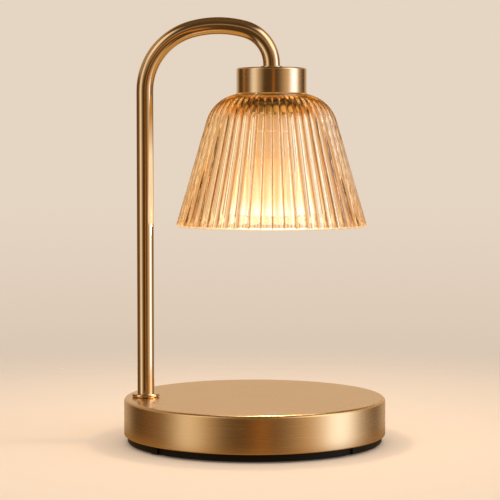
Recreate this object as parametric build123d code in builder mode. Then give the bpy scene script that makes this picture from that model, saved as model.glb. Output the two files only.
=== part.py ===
"""Candle warmer lamp: a ribbed glass shade with a GU10 heat bulb, hung over a round weighted base.

Units are millimetres.  The origin is the centre of the base on the plane that the feet stand on,
+Z is up and the arm reaches along +X, from the stem at the base's edge to the shade's axis.
"""

from build123d import *
from math import acos, atan2, cos, hypot, pi, radians, sin, tan
import os

os.makedirs("parts", exist_ok=True)

# ---------------------------------------------------------------- fits
slip_gap = 0.10      # a plain part slid over another
thread_gap = 0.05    # a nut, ring or screw on its thread, which is drawn plain
insert_gap = 0.05    # a plug or pin held in its socket
wire_gap = 0.15      # an insulated wire in its hole
head_gap = 0.20      # a screw's head beside a wall

# ---------------------------------------------------------------- base
base_diameter = 160.0
shell_height = 22.4
shell_wall = 1.5
shell_top_fillet = 2.0
shell_edge_fillet = 0.6

foot_proud = 0.8
foot_thickness = 1.8
foot_diameter = 16.0
foot_inset = 11.5
foot_count = 3
foot_start_angle = 98.0
foot_chamfer = 0.3

skirt_height = 4.4
skirt_step = 0.3
spigot_height = 3.0
cover_clearance = 0.3
cover_floor = 2.4
cover_wall = 2.4
cover_chamfer = 0.5
notch_count = 4
notch_start_angle = 45.0
notch_width = 6.2
notch_depth = 1.2

weight_thickness = 8.0
weight_clearance = 1.0
weight_chamfer = 1.0
post_diameter = 9.0
post_inset = 30.0
post_count = 3
post_start_angle = 30.0
nut_pocket_clearance = 2.0
nut_pocket_floor = 4.0

cover_screw_diameter = 3.0
cover_screw_head = 6.0
cover_screw_length = 9.0
screw_countersink = 90.0
cross_length = 2.1
cross_width = 0.6
cross_depth = 0.75

# ---------------------------------------------------------------- cord entry and terminals
cord_bore_diameter = 6.2
bush_body_diameter = 8.4
bush_flange_diameter = 11.0
bush_flange_thickness = 1.4
bush_lip_diameter = 9.4
bush_lip_thickness = 1.2
bush_tail = 4.0
bush_pocket_clearance = 1.5

wire_diameter = 1.8
wire_spacing = 2.4
wire_drop = 7.0
wire_bend = 4.6
wire_tail = 4.0
wire_fan = 8.0
wire_fan_lead = 1.0
wire_fan_bend = 5.4
wire_slack = 0.97
block_length = 18.0
block_width = 17.0
block_corner = 1.5
block_under = 6.0
block_offset = 24.0
terminal_pitch = 8.0
terminal_diameter = 3.8
terminal_overhang = 1.0
block_screw_diameter = 3.0
block_screw_head = 5.4
block_screw_head_height = 1.8
block_screw_grip = 5.0
screw_slot_width = 0.8
screw_slot_depth = 1.0

# ---------------------------------------------------------------- stem
stem_inset = 13.2
arm_span = 77.0
stem_diameter = 10.4
stem_wall = 1.6
thread_shoulder = 0.7
thread_overrun = 0.8
stem_rise = 184.5
stem_bend_radius = 38.9
head_bend_radius = 22.1
bend_angle = 75.0
head_drop = 0.9

foot_collar_diameter = 17.0
foot_collar_height = 2.2
foot_collar_fillet = 0.9
head_collar_diameter = 13.2
head_collar_height = 1.2
head_collar_fillet = 0.4

nut_flats = 14.0
nut_height = 3.5
nut_chamfer = 0.6
nut_chamfer_angle = 30.0
washer_diameter = 16.0
washer_thickness = 0.8

# ---------------------------------------------------------------- head
cap_height = 15.5
cap_wall = 1.4
cap_gap = 1.4
cap_fillet = 1.3
cap_chamfer = 0.25

fitter_diameter = 37.0
fitter_wall = 1.2
fitter_end = 1.4

bracket_width = 12.0
bracket_thickness = 1.2
bracket_span = 23.2
bracket_drop = 19.0
bracket_foot = 6.4
bracket_bend = 1.1
bracket_screw_diameter = 3.0
bracket_screw_head = 4.8
bracket_screw_head_height = 1.6
bracket_screw_length = 7.0

holder_diameter = 24.0
holder_height = 17.0
holder_chamfer = 0.8
holder_floor = 3.5
holder_cavity = 3.5
slot_clearance = 0.3
contact_thickness = 0.7
contact_clearance = 0.3

# ---------------------------------------------------------------- shade and its ring
shade_rim_diameter = 115.8
shade_height = 80.7
shoulder_radius = 23.1
crown_radius = 17.4
glass_wall = 2.3
rib_count = 52
rib_depth = 1.2
rim_round = 1.5
shoulder_steps = 5
rib_end_gap = 0.5
shade_hole_gap = 0.4

gasket_thickness = 1.0
gasket_width = 2.9
ring_height = 7.0
ring_wall = 2.8
ring_grips = 24
ring_grip_radius = 0.7

# ---------------------------------------------------------------- GU10 bulb
bulb_length = 50.0
bulb_diameter = 50.0
bulb_rim_height = 4.0
bulb_neck_diameter = 25.0
bulb_neck_height = 16.0
bulb_bulge = 2.6
bulb_base_diameter = 20.6
bulb_base_taper = 4.0
bulb_base_chamfer = 0.8
bulb_spigot = 4.0
reflector_wall = 1.6
lens_thickness = 2.0
lens_land = 1.8
pin_spacing = 10.0
pin_diameter = 3.2
pin_head_diameter = 5.0
pin_head_height = 2.4
pin_head_chamfer = 0.4
pin_root = 7.0
seat_gap = 0.3
head_lift = 0.1
bulb_twist = 25.0
capsule_diameter = 11.0
capsule_length = 22.0
capsule_sunk = 7.3
capsule_tip_flat = 1.1

# ---------------------------------------------------------------- heights and axes
cover_z = foot_proud
shell_z = cover_z + skirt_height
top_z = shell_z + shell_height
ceiling_z = top_z - shell_wall
weight_z = ceiling_z - weight_thickness
floor_z = cover_z + cover_floor
shell_radius = base_diameter / 2
shell_inner_radius = shell_radius - shell_wall
post_circle_radius = shell_radius - post_inset

stem_x = stem_inset - shell_radius
head_offset = stem_x + arm_span
stem_radius = stem_diameter / 2
stem_bore_radius = stem_radius - stem_wall
thread_radius = stem_radius - thread_shoulder
stem_foot_z = top_z + foot_collar_height
bend_z = stem_foot_z + stem_rise
nut_radius = nut_flats / 2 / cos(radians(30))

turn = radians(bend_angle)
crown_turn = 180 - 2 * bend_angle
crown_bend_radius = (
    arm_span - (stem_bend_radius + head_bend_radius) * (1 - cos(turn))
) / (2 * cos(turn))
arch_end_z = bend_z + (stem_bend_radius - head_bend_radius) * sin(turn)
stem_head_z = arch_end_z - head_drop

cap_top_z = stem_head_z - head_collar_height
cap_z = cap_top_z - cap_height
fitter_top_z = cap_top_z - cap_wall
plate_z = fitter_top_z - fitter_wall
head_nut_z = plate_z - bracket_thickness - washer_thickness - nut_height
foot_nut_z = weight_z + nut_pocket_floor - washer_thickness - nut_height

half_span = bracket_span / 2
bracket_screw_circle = half_span - bracket_thickness - head_gap - bracket_screw_head / 2
holder_top_z = plate_z - bracket_drop
holder_z = holder_top_z - holder_height
seat_z = holder_z - seat_gap
lens_z = seat_z - bulb_length

rim_z = cap_z - shade_height
shoulder_z = cap_z - shoulder_radius
rim_radius = shade_rim_diameter / 2
wall_total = glass_wall + rib_depth
shade_inner_z = cap_z - wall_total
ring_top_z = shade_inner_z - gasket_thickness
ring_z = ring_top_z - ring_height
fitter_z = ring_z - fitter_end
fitter_radius = fitter_diameter / 2
cap_radius = fitter_radius + cap_gap + cap_wall
shade_hole_radius = fitter_radius + shade_hole_gap

base_axis = Axis.Z
head_axis = Axis((head_offset, 0, 0), (0, 0, 1))
head_section = Plane(origin=(head_offset, 0, 0), x_dir=(1, 0, 0), z_dir=(0, -1, 0))


def level(x, z):
    """Horizontal plane at height z with its origin on the vertical axis at x."""
    return Plane(origin=(x, 0, z))


def publish(piece, name):
    """Label a finished piece and write it as one STEP file."""
    piece.part.label = name
    export_step(piece.part, f"parts/{name}.step")


# ================================================================ base
# Drawn shell: a drum open below, with a rounded top edge and a slightly rounded lower edge.
bush_z = (shell_z + spigot_height + weight_z) / 2
bush_axis = Axis((0, 0, bush_z), (0, 1, 0))
bush_section = Plane(origin=(0, 0, bush_z), x_dir=(0, 1, 0), z_dir=(-1, 0, 0))
shell_inner_fillet = max(shell_top_fillet - shell_wall, 0.3)

with BuildPart() as base_shell:
    with BuildSketch(Plane.XZ):
        with BuildLine():
            Polyline(
                (0, top_z),
                (shell_radius, top_z),
                (shell_radius, shell_z),
                (shell_inner_radius, shell_z),
                (shell_inner_radius, ceiling_z),
                (0, ceiling_z),
                close=True,
            )
        make_face()
    revolve(axis=base_axis)
    drum_edges = base_shell.edges().filter_by(GeomType.CIRCLE)
    outer_top = drum_edges.group_by(Axis.Z)[-1].sort_by(SortBy.RADIUS)[-1:]
    outer_low = drum_edges.group_by(Axis.Z)[0].sort_by(SortBy.RADIUS)[-1:]
    inner_top = drum_edges.group_by(Axis.Z)[-2].sort_by(SortBy.RADIUS)[-1:]
    fillet(outer_top, radius=shell_top_fillet)
    fillet(outer_low, radius=min(shell_edge_fillet, 0.8 * shell_wall))
    fillet(inner_top, radius=shell_inner_fillet)
    with Locations((stem_x, 0, top_z)):
        Hole(radius=thread_radius + slip_gap, depth=2 * shell_wall)
    with BuildSketch(Plane.XZ.offset(-shell_radius)):
        with Locations((0, bush_z)):
            Circle(bush_body_diameter / 2 + insert_gap)
    extrude(amount=2 * shell_wall, mode=Mode.SUBTRACT)
publish(base_shell, "base_shell")

# Cast-iron weight: a disc under the shell's top, with screw posts down to the cover, a pocket
# for the stem's nut and a bay for the cord bush.
weight_radius = shell_inner_radius - weight_clearance
terminal_z = weight_z - wire_drop
block_x = stem_x + block_offset
block_centre_x = block_x + block_length / 2
block_z = terminal_z - block_under
block_screw_head_z = block_z + block_screw_head_height
bay_depth = weight_radius - (shell_inner_radius - bush_tail - bush_lip_thickness - bush_pocket_clearance)

with BuildPart() as base_weight:
    with BuildSketch(Plane.XY.offset(weight_z)):
        Circle(weight_radius)
    extrude(amount=weight_thickness)
    weight_rims = base_weight.edges().filter_by(GeomType.CIRCLE).group_by(Axis.Z)
    chamfer(weight_rims[0] + weight_rims[-1], length=weight_chamfer)
    with BuildSketch(Plane.XY.offset(floor_z)):
        with PolarLocations(post_circle_radius, post_count, post_start_angle):
            Circle(post_diameter / 2)
    extrude(until=Until.NEXT)
    with BuildSketch(Plane.XY.offset(floor_z)):
        with PolarLocations(post_circle_radius, post_count, post_start_angle):
            Circle(cover_screw_diameter / 2 + thread_gap)
    extrude(amount=cover_screw_length, mode=Mode.SUBTRACT)
    with BuildSketch(level(stem_x, weight_z)):
        Circle(nut_radius + nut_pocket_clearance)
    extrude(amount=nut_pocket_floor, mode=Mode.SUBTRACT)
    with Locations((stem_x, 0, ceiling_z)):
        Hole(radius=thread_radius + slip_gap, depth=weight_thickness)
    with BuildSketch(Plane.XY.offset(weight_z)):
        with Locations((0, weight_radius - bay_depth / 2)):
            Rectangle(bush_flange_diameter + 2 * bush_pocket_clearance, bay_depth)
    extrude(amount=weight_thickness, mode=Mode.SUBTRACT)
    with BuildSketch(Plane.XY.offset(weight_z)):
        with Locations((block_centre_x, 0)):
            Circle(block_screw_diameter / 2 + thread_gap)
    extrude(amount=block_screw_grip, mode=Mode.SUBTRACT)
publish(base_weight, "base_weight")

# Black cover: a shallow tray that plugs into the shell, with finger notches in its skirt,
# countersunk screw holes and shallow seats for the feet.
spigot_radius = shell_inner_radius - cover_clearance
skirt_radius = spigot_radius - skirt_step
foot_circle_radius = shell_radius - foot_inset
foot_seat_depth = foot_thickness - foot_proud


def places_round(radius, count, start_angle):
    """Points spaced evenly on a circle round the base's axis."""
    turns = [radians(start_angle + 360 / count * i) for i in range(count)]
    return [(radius * cos(a), radius * sin(a)) for a in turns]


foot_places = places_round(foot_circle_radius, foot_count, foot_start_angle)
post_places = places_round(post_circle_radius, post_count, post_start_angle)

with BuildPart() as bottom_cover:
    with BuildSketch(Plane.XZ):
        with BuildLine():
            Polyline(
                (0, cover_z),
                (skirt_radius, cover_z),
                (skirt_radius, shell_z),
                (spigot_radius, shell_z),
                (spigot_radius, shell_z + spigot_height),
                (spigot_radius - cover_wall, shell_z + spigot_height),
                (spigot_radius - cover_wall, floor_z),
                (0, floor_z),
                close=True,
            )
        make_face()
    revolve(axis=base_axis)
    lowest_rim = bottom_cover.edges().filter_by(GeomType.CIRCLE).group_by(Axis.Z)[0]
    chamfer(lowest_rim, length=cover_chamfer)
    with BuildSketch(Plane.XY.offset(cover_z)):
        with PolarLocations(skirt_radius, notch_count, notch_start_angle):
            Rectangle(2 * notch_depth, notch_width)
    extrude(amount=skirt_height, mode=Mode.SUBTRACT)
    with BuildSketch(Plane.XY.offset(shell_z)):
        with Locations((0, spigot_radius)):
            Rectangle(bush_lip_diameter + 2 * bush_pocket_clearance, 4 * cover_wall)
    extrude(amount=spigot_height, mode=Mode.SUBTRACT)
    with BuildSketch(Plane.XY.offset(cover_z)):
        with Locations(foot_places):
            Circle(foot_diameter / 2 + slip_gap)
    extrude(amount=foot_seat_depth, mode=Mode.SUBTRACT)
    for x, y in post_places:
        with Locations(Plane(origin=(x, y, cover_z), z_dir=(0, 0, -1))):
            CounterSinkHole(
                radius=cover_screw_diameter / 2 + slip_gap,
                counter_sink_radius=cover_screw_head / 2 + slip_gap,
                depth=cover_floor,
                counter_sink_angle=screw_countersink,
            )
publish(bottom_cover, "bottom_cover")

# Countersunk screws through the cover into the weight's posts.
screw_cone = (cover_screw_head - cover_screw_diameter) / 2 / tan(radians(screw_countersink / 2))
with BuildPart() as cover_screws:
    with BuildSketch(Plane.XY.offset(cover_z)):
        with Locations(post_places):
            Circle(cover_screw_diameter / 2)
    extrude(amount=cover_screw_length)
    for x, y in post_places:
        with Locations((x, y, cover_z)):
            Cone(
                bottom_radius=cover_screw_head / 2,
                top_radius=cover_screw_diameter / 2,
                height=screw_cone,
                align=(Align.CENTER, Align.CENTER, Align.MIN),
            )
    with BuildSketch(Plane.XY.offset(cover_z)):
        with Locations(post_places):
            Rectangle(cross_length, cross_width)
            Rectangle(cross_width, cross_length)
    extrude(amount=cross_depth, mode=Mode.SUBTRACT)
publish(cover_screws, "cover_screws")

with BuildPart() as rubber_feet:
    with BuildSketch(Plane.XY):
        with Locations(foot_places):
            Circle(foot_diameter / 2)
    extrude(amount=foot_thickness)
    chamfer(rubber_feet.edges().group_by(Axis.Z)[0], length=foot_chamfer)
publish(rubber_feet, "rubber_feet")

# Rubber bush in the shell's rear wall, where the supply cord goes in.
bush_face = shell_radius + bush_flange_thickness
bush_groove = shell_inner_radius - slip_gap
bush_end = shell_inner_radius - bush_tail
with BuildPart() as cord_bush:
    with BuildSketch(bush_section):
        with BuildLine():
            Polyline(
                (bush_end, cord_bore_diameter / 2),
                (bush_face, cord_bore_diameter / 2),
                (bush_face, bush_flange_diameter / 2),
                (shell_radius, bush_flange_diameter / 2),
                (shell_radius, bush_body_diameter / 2),
                (bush_groove, bush_body_diameter / 2),
                (bush_groove - slip_gap, bush_lip_diameter / 2),
                (bush_groove - bush_lip_thickness, bush_body_diameter / 2),
                (bush_end, bush_body_diameter / 2),
                close=True,
            )
        make_face()
    revolve(axis=bush_axis)
publish(cord_bush, "cord_bush")

# ================================================================ stem
def stem_line():
    """Centre line of the tube, from its foot shoulder over the arch to its head shoulder."""
    with BuildLine(Plane.XZ) as line:
        leg = Line((stem_x, stem_foot_z), (stem_x, bend_z))
        first = JernArc(leg @ 1, leg % 1, stem_bend_radius, -bend_angle)
        crown = JernArc(first @ 1, first % 1, crown_bend_radius, -crown_turn)
        last = JernArc(crown @ 1, crown % 1, head_bend_radius, -bend_angle)
        Line(last @ 1, (head_offset, stem_head_z))
    return line.line


foot_thread = stem_foot_z - foot_nut_z + thread_overrun
head_thread = stem_head_z - head_nut_z + thread_overrun

with BuildPart() as stem_tube:
    with BuildSketch(level(stem_x, stem_foot_z)):
        Circle(stem_radius)
    sweep(path=stem_line())
    with BuildSketch(level(stem_x, stem_foot_z)):
        Circle(thread_radius)
    extrude(amount=-foot_thread)
    with BuildSketch(level(head_offset, stem_head_z)):
        Circle(thread_radius)
    extrude(amount=-head_thread)
    with BuildSketch(level(stem_x, stem_foot_z)):
        Circle(stem_bore_radius)
    sweep(path=stem_line(), mode=Mode.SUBTRACT)
    with BuildSketch(level(stem_x, stem_foot_z), level(head_offset, stem_head_z)):
        Circle(stem_bore_radius)
    extrude(amount=-max(foot_thread, head_thread), mode=Mode.SUBTRACT)
publish(stem_tube, "stem_tube")


def turned_collar(x, z, height, diameter, edge_fillet):
    """Turned ring that covers a joint in the tube, with rounded outer edges."""
    with BuildPart() as collar:
        with BuildSketch(level(x, z)):
            Circle(diameter / 2)
            Circle(thread_radius + slip_gap, mode=Mode.SUBTRACT)
        extrude(amount=height)
        rims = collar.edges().filter_by(GeomType.CIRCLE).sort_by(SortBy.RADIUS)[-2:]
        fillet(rims, radius=min(edge_fillet, 0.45 * height))
    return collar


def hex_nut(x, z):
    """Hexagon nut on the tube's thread, chamfered on both faces."""
    face_radius = nut_radius - nut_chamfer / tan(radians(nut_chamfer_angle))
    with BuildPart() as nut:
        with BuildSketch(level(x, z)):
            RegularPolygon(radius=nut_flats / 2, side_count=6, major_radius=False)
            Circle(thread_radius + thread_gap, mode=Mode.SUBTRACT)
        extrude(amount=nut_height)
        with BuildSketch(Plane(origin=(x, 0, 0), x_dir=(1, 0, 0), z_dir=(0, -1, 0))):
            with BuildLine():
                Polyline(
                    (0, z),
                    (face_radius, z),
                    (nut_radius, z + nut_chamfer),
                    (nut_radius, z + nut_height - nut_chamfer),
                    (face_radius, z + nut_height),
                    (0, z + nut_height),
                    close=True,
                )
            make_face()
        revolve(axis=Axis((x, 0, 0), (0, 0, 1)), mode=Mode.INTERSECT)
    return nut


def plain_washer(x, z):
    """Flat steel washer on the tube's thread."""
    with BuildPart() as washer:
        with BuildSketch(level(x, z)):
            Circle(washer_diameter / 2)
            Circle(thread_radius + slip_gap, mode=Mode.SUBTRACT)
        extrude(amount=washer_thickness)
    return washer


foot_collar = turned_collar(stem_x, top_z, foot_collar_height, foot_collar_diameter, foot_collar_fillet)
publish(foot_collar, "foot_collar")
head_collar = turned_collar(
    head_offset, cap_top_z, head_collar_height, head_collar_diameter, head_collar_fillet
)
publish(head_collar, "head_collar")

foot_washer = plain_washer(stem_x, foot_nut_z + nut_height)
publish(foot_washer, "foot_washer")
foot_nut = hex_nut(stem_x, foot_nut_z)
publish(foot_nut, "foot_nut")
head_washer = plain_washer(head_offset, head_nut_z + nut_height)
publish(head_washer, "head_washer")
head_nut = hex_nut(head_offset, head_nut_z)
publish(head_nut, "head_nut")

# ================================================================ wiring inside the lamp
# Terminal block on the weight's underside: a ceramic body with two brass barrels, held by one screw.
terminal_sides = [-terminal_pitch / 2, terminal_pitch / 2]
with BuildPart() as terminal_block:
    with BuildSketch(Plane.XY.offset(block_z)):
        with Locations((block_centre_x, 0)):
            RectangleRounded(block_length, block_width, block_corner)
    extrude(amount=weight_z - block_z)
    with BuildSketch(Plane.YZ.offset(block_x)):
        with Locations([(side, terminal_z) for side in terminal_sides]):
            Circle(terminal_diameter / 2 + insert_gap)
    extrude(amount=block_length, mode=Mode.SUBTRACT)
    with BuildSketch(Plane.XY.offset(block_z)):
        with Locations((block_centre_x, 0)):
            Circle(block_screw_head / 2 + slip_gap)
    extrude(amount=block_screw_head_height, mode=Mode.SUBTRACT)
    with Locations((block_centre_x, 0, weight_z)):
        Hole(radius=block_screw_diameter / 2 + slip_gap, depth=weight_z - block_z)
publish(terminal_block, "terminal_block")

barrel_length = block_length + 2 * terminal_overhang
barrel_bore_radius = wire_diameter / 2 + wire_gap
with BuildPart() as terminal_barrels:
    with BuildSketch(Plane.YZ.offset(block_x - terminal_overhang)):
        with Locations([(side, terminal_z) for side in terminal_sides]):
            Circle(terminal_diameter / 2)
            Circle(barrel_bore_radius, mode=Mode.SUBTRACT)
    extrude(amount=barrel_length)
publish(terminal_barrels, "terminal_barrels")

with BuildPart() as block_screw:
    with BuildSketch(Plane.XY.offset(block_z)):
        with Locations((block_centre_x, 0)):
            Circle(block_screw_head / 2)
    extrude(amount=block_screw_head_height)
    with BuildSketch(Plane.XY.offset(block_screw_head_z)):
        with Locations((block_centre_x, 0)):
            Circle(block_screw_diameter / 2)
    extrude(amount=weight_z + block_screw_grip - block_screw_head_z)
    with BuildSketch(Plane.XY.offset(block_z)):
        with Locations((block_centre_x, 0)):
            Rectangle(block_screw_head, screw_slot_width)
    extrude(amount=screw_slot_depth, mode=Mode.SUBTRACT)
publish(block_screw, "block_screw")

# Two insulated wires run from the barrels up the tube's bore and over the arch to the holder.
contact_z = holder_z + holder_floor + holder_cavity


def wire_route(side):
    """Corner points and bend radii of one wire; side is -1 or +1 across the tube."""
    across = side * wire_spacing / 2
    block_y = side * terminal_pitch / 2
    pin_y = side * pin_spacing / 2
    half_turn = tan(turn / 2)
    half_crown = tan(radians(crown_turn) / 2)
    corner_1 = Vector(stem_x, across, bend_z + stem_bend_radius * half_turn)
    into_crown = Vector(sin(turn), 0, cos(turn))
    out_of_crown = Vector(sin(turn), 0, -cos(turn))
    corner_2 = corner_1 + into_crown * (stem_bend_radius * half_turn + crown_bend_radius * half_crown)
    corner_3 = corner_2 + out_of_crown * (crown_bend_radius * half_crown + head_bend_radius * half_turn)
    fan_top = head_nut_z - thread_overrun - wire_fan_lead
    fan_bottom = holder_top_z + wire_fan_lead
    points = [
        (block_x + wire_tail, block_y, terminal_z),
        (block_x - terminal_overhang - wire_tail, block_y, terminal_z),
        (stem_x, across, terminal_z),
        corner_1,
        corner_2,
        corner_3,
        (head_offset, across, fan_top),
        (head_offset, pin_y, fan_bottom),
        (head_offset, pin_y, contact_z),
    ]
    radii = [
        wire_fan,
        wire_bend,
        stem_bend_radius * wire_slack,
        crown_bend_radius * wire_slack,
        head_bend_radius * wire_slack,
        wire_fan_bend,
        wire_fan_bend,
    ]
    return points, radii


def wire_from_block(side):
    """One wire: a round section swept along straight runs joined by tangent arcs."""
    points, radii = wire_route(side)
    with BuildPart() as wire:
        with BuildLine():
            route = FilletPolyline(*points, radius=radii)
        with BuildSketch(Plane(origin=route @ 0, z_dir=route % 0)):
            Circle(wire_diameter / 2)
        sweep(path=route)
    return wire, route.length


for side, name in ((-1, "wire_live"), (1, "wire_neutral")):
    wire, wire_length = wire_from_block(side)
    publish(wire, name)
    section_area = pi * (wire_diameter / 2) ** 2
    print(name, "length", round(wire_length, 1), "volume ratio", wire.part.volume / section_area / wire_length)

# ================================================================ head
# Cap: a turned cup over the head, rounded at its top edge, open below.
with BuildPart() as head_cap:
    with BuildSketch(level(head_offset, cap_z)):
        Circle(cap_radius)
    extrude(amount=cap_height)
    fillet(head_cap.edges().group_by(Axis.Z)[-1], radius=cap_fillet)
    with BuildSketch(level(head_offset, cap_z)):
        Circle(cap_radius - cap_wall)
    extrude(amount=cap_height - cap_wall, mode=Mode.SUBTRACT)
    with Locations((head_offset, 0, cap_top_z)):
        Hole(radius=thread_radius + slip_gap, depth=cap_wall)
    chamfer(head_cap.edges().group_by(Axis.Z)[0], length=cap_chamfer)
publish(head_cap, "head_cap")

# Fitter: a steel sleeve under the cap.  The shade's hole slides over it and its lower end
# carries the thread for the shade ring.
with BuildPart() as shade_fitter:
    with BuildSketch(level(head_offset, fitter_z)):
        Circle(fitter_radius)
    extrude(amount=fitter_top_z - fitter_z)
    with BuildSketch(level(head_offset, fitter_z)):
        Circle(fitter_radius - fitter_wall)
    extrude(amount=plate_z - fitter_z, mode=Mode.SUBTRACT)
    with Locations((head_offset, 0, fitter_top_z)):
        Hole(radius=thread_radius + slip_gap, depth=fitter_wall)
publish(shade_fitter, "shade_fitter")

# Bracket: a bent strap that hangs the bulb holder from the tube's nut.
with BuildPart() as holder_bracket:
    with BuildSketch(head_section.offset(-bracket_width / 2)):
        with BuildLine():
            Polyline(
                (-half_span, holder_top_z),
                (-half_span, plate_z),
                (half_span, plate_z),
                (half_span, holder_top_z),
                (half_span - bracket_foot, holder_top_z),
                (half_span - bracket_foot, holder_top_z + bracket_thickness),
                (half_span - bracket_thickness, holder_top_z + bracket_thickness),
                (half_span - bracket_thickness, plate_z - bracket_thickness),
                (bracket_thickness - half_span, plate_z - bracket_thickness),
                (bracket_thickness - half_span, holder_top_z + bracket_thickness),
                (bracket_foot - half_span, holder_top_z + bracket_thickness),
                (bracket_foot - half_span, holder_top_z),
                close=True,
            )
        make_face()
    extrude(amount=bracket_width)
    bends = holder_bracket.edges().filter_by(Axis.Y)
    outer_bends = bends.sort_by(Axis.X)[:2] + bends.sort_by(Axis.X)[-2:]
    fillet(outer_bends, radius=min(bracket_bend, 0.95 * bracket_thickness))
    with Locations((head_offset, 0, plate_z)):
        Hole(radius=thread_radius + slip_gap, depth=bracket_thickness)
    with Locations(
        (head_offset - bracket_screw_circle, 0, holder_top_z + bracket_thickness),
        (head_offset + bracket_screw_circle, 0, holder_top_z + bracket_thickness),
    ):
        Hole(radius=bracket_screw_diameter / 2 + slip_gap, depth=bracket_thickness)
publish(holder_bracket, "holder_bracket")

bracket_screw_places = [(-bracket_screw_circle, 0), (bracket_screw_circle, 0)]
screw_seat_z = holder_top_z + bracket_thickness
with BuildPart() as bracket_screws:
    with BuildSketch(level(head_offset, screw_seat_z)):
        with Locations(bracket_screw_places):
            Circle(bracket_screw_head / 2)
    extrude(amount=bracket_screw_head_height)
    with BuildSketch(level(head_offset, screw_seat_z)):
        with Locations(bracket_screw_places):
            Circle(bracket_screw_diameter / 2)
    extrude(amount=-bracket_screw_length)
    with BuildSketch(level(head_offset, screw_seat_z + bracket_screw_head_height)):
        with Locations(bracket_screw_places):
            Rectangle(bracket_screw_head, screw_slot_width)
    extrude(amount=-screw_slot_depth, mode=Mode.SUBTRACT)
publish(bracket_screws, "bracket_screws")

# Bulb holder: a ceramic body with two keyhole slots in its floor.  The pin heads go in at the
# round holes and turn above the floor to the locked end.
pin_radius = pin_diameter / 2
pin_head_radius = pin_head_diameter / 2
pin_circle = pin_spacing / 2
pin_sides = [90, 270]
pin_arcs = [CenterArc((0, 0), pin_circle, angle - bulb_twist, bulb_twist) for angle in pin_sides]


def twist_slots(width):
    """Two arc slots that the pins follow from free to locked, drawn in the sketch in hand."""
    for arc in pin_arcs:
        SlotArc(arc, width)


with BuildPart() as lamp_holder:
    with BuildSketch(level(head_offset, holder_z)):
        Circle(holder_diameter / 2)
    extrude(amount=holder_height)
    holder_rims = lamp_holder.edges().group_by(Axis.Z)
    chamfer(holder_rims[0] + holder_rims[-1], length=holder_chamfer)
    with BuildSketch(level(head_offset, holder_z)):
        twist_slots(pin_diameter + 2 * slot_clearance)
    extrude(amount=holder_floor, mode=Mode.SUBTRACT)
    with BuildSketch(level(head_offset, holder_z + holder_floor)):
        twist_slots(pin_head_diameter + 2 * slot_clearance)
    extrude(amount=holder_cavity, mode=Mode.SUBTRACT)
    with BuildSketch(level(head_offset, holder_z)):
        with PolarLocations(pin_circle, 2, 90 - bulb_twist):
            Circle(pin_head_radius + slot_clearance)
    extrude(amount=holder_floor, mode=Mode.SUBTRACT)
    with BuildSketch(level(head_offset, contact_z)):
        with PolarLocations(pin_circle, 2, 90):
            Circle(wire_diameter / 2 + wire_gap)
    extrude(amount=holder_top_z - contact_z, mode=Mode.SUBTRACT)
    with BuildSketch(level(head_offset, holder_top_z)):
        with Locations(bracket_screw_places):
            Circle(bracket_screw_diameter / 2 + thread_gap)
    extrude(amount=-bracket_screw_length, mode=Mode.SUBTRACT)
publish(lamp_holder, "lamp_holder")

# Spring contacts against the roof of the holder's cavities, above the pin heads.
with BuildPart() as holder_contacts:
    with BuildSketch(level(head_offset, contact_z)):
        twist_slots(pin_head_diameter + 2 * slot_clearance - 2 * contact_clearance)
    extrude(amount=-contact_thickness)
publish(holder_contacts, "holder_contacts")

# ================================================================ shade
# The wall leans out from the shoulder's round to the rim.  Its lean follows from the rim's
# point and the shoulder's circle.
wall_z = rim_z + rim_round
rim_corner = rim_round * (1 - cos(pi / 4))
run = rim_radius - crown_radius
rise = shoulder_z - wall_z
lean = acos(shoulder_radius / hypot(run, rise)) - atan2(rise, run)
crest_end_radius = cap_radius + rib_end_gap
end_turn = acos((crest_end_radius - crown_radius) / shoulder_radius)


def rib_ring(z, crest):
    """Closed outline of convex ribs around the shade's axis; crest is the radius over the ribs."""
    step = 2 * pi / rib_count
    valley = crest * (1 - rib_depth / rim_radius)

    def at(radius, angle):
        return (radius * cos(angle), radius * sin(angle))

    with BuildSketch(level(head_offset, z)) as ring:
        with BuildLine():
            for i in range(rib_count):
                middle = (i + 0.5) * step
                ThreePointArc(at(valley, i * step), at(crest, middle), at(valley, (i + 1) * step))
        make_face()
    return ring.sketch


rim_rows = [
    (rim_z, rim_radius - rim_round),
    (rim_z + rim_corner, rim_radius - rim_corner),
    (wall_z, rim_radius),
]
shoulder_turns = [lean + (end_turn - lean) * i / shoulder_steps for i in range(shoulder_steps + 1)]
shoulder_rows = [
    (shoulder_z + shoulder_radius * sin(a), crown_radius + shoulder_radius * cos(a)) for a in shoulder_turns
]
inner_radius = shoulder_radius - wall_total
inner_tangent = (crown_radius + inner_radius * cos(lean), shoulder_z + inner_radius * sin(lean))
inner_rim = inner_tangent[0] + (inner_tangent[1] - rim_z) * tan(lean)
gasket_seat_radius = shade_hole_radius + gasket_width + slip_gap
inner_crown_turn = acos((gasket_seat_radius - crown_radius) / inner_radius)
inner_crown = (gasket_seat_radius, shoulder_z + inner_radius * sin(inner_crown_turn))

with BuildPart() as shade:
    loft([rib_ring(z, crest) for z, crest in rim_rows + shoulder_rows], ruled=True)
    with BuildSketch(level(head_offset, shoulder_rows[-1][0])):
        Circle(crest_end_radius * (1 - rib_depth / rim_radius))
    extrude(amount=cap_z - shoulder_rows[-1][0])
    with BuildSketch(head_section):
        with BuildLine():
            Polyline(
                (shade_hole_radius, cap_z),
                (0, cap_z),
                (0, rim_z),
                (inner_rim, rim_z),
                inner_tangent,
            )
            RadiusArc(inner_tangent, inner_crown, -inner_radius)
            Polyline(
                inner_crown,
                (gasket_seat_radius, shade_inner_z),
                (shade_hole_radius, shade_inner_z),
                (shade_hole_radius, cap_z),
            )
        make_face()
    revolve(axis=head_axis, mode=Mode.SUBTRACT)
publish(shade, "shade")

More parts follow.
